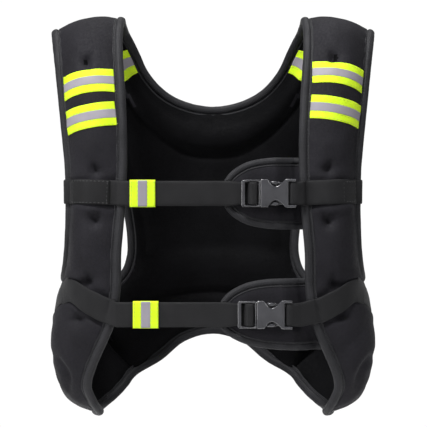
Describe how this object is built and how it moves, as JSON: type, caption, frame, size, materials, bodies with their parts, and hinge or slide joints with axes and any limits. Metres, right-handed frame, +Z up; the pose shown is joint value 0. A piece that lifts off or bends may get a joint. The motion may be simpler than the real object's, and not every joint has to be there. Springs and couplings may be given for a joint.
{
  "type": "weighted vest",
  "caption": "Padded neoprene training vest with bound edges, open neck and armholes, hi-vis tapes, and webbing straps that close across the front with side-release buckles.",
  "frame": {"origin": "midway between the two shoulder pads, at the height of their underside beside the neck, where the vest rests on its wearer", "axes": "+Z up along the wearer, -Y the way the wearer faces, +X to the wearer's left, which is the right of the front view"},
  "size_m": [0.3402, 0.2128, 0.4223],
  "materials": {
    "neoprene": "matte knit faced neoprene",
    "binding": "matte woven tape",
    "webbing": "matte woven webbing",
    "lime_tape": "matte fluorescent tape",
    "silver_tape": "satin reflective strip",
    "buckle": "satin black moulded plastic",
    "label": "matte woven label, left bare"
  },
  "bodies": {
    "root": {"front_panel_right": "neoprene", "front_panel_left": "neoprene", "back_panel": "neoprene", "edge_binding": "binding", "armhole_binding_right": "binding", "armhole_binding_left": "binding", "chest_guard": "neoprene", "chest_guard_binding": "binding", "chest_strap_long": "webbing", "chest_strap_short": "webbing", "chest_strap_tab": "lime_tape", "chest_strap_tab_silver": "silver_tape", "chest_socket": "buckle", "chest_clip": "buckle", "waist_guard": "neoprene", "waist_guard_binding": "binding", "waist_strap_long": "webbing", "waist_strap_short": "webbing", "waist_strap_tab": "lime_tape", "waist_strap_tab_silver": "silver_tape", "waist_socket": "buckle", "waist_clip": "buckle", "strap_label": "label", "shoulder_tape_left_upper": "lime_tape", "shoulder_tape_left_upper_silver": "silver_tape", "shoulder_tape_left_lower": "lime_tape", "shoulder_tape_left_lower_silver": "silver_tape", "inner_tape_left": "lime_tape", "inner_tape_left_silver": "silver_tape", "shoulder_tape_right_upper": "lime_tape", "shoulder_tape_right_upper_silver": "silver_tape", "shoulder_tape_right_lower": "lime_tape", "shoulder_tape_right_lower_silver": "silver_tape", "inner_tape_right": "lime_tape", "inner_tape_right_silver": "silver_tape"}
  },
  "joints": []
}
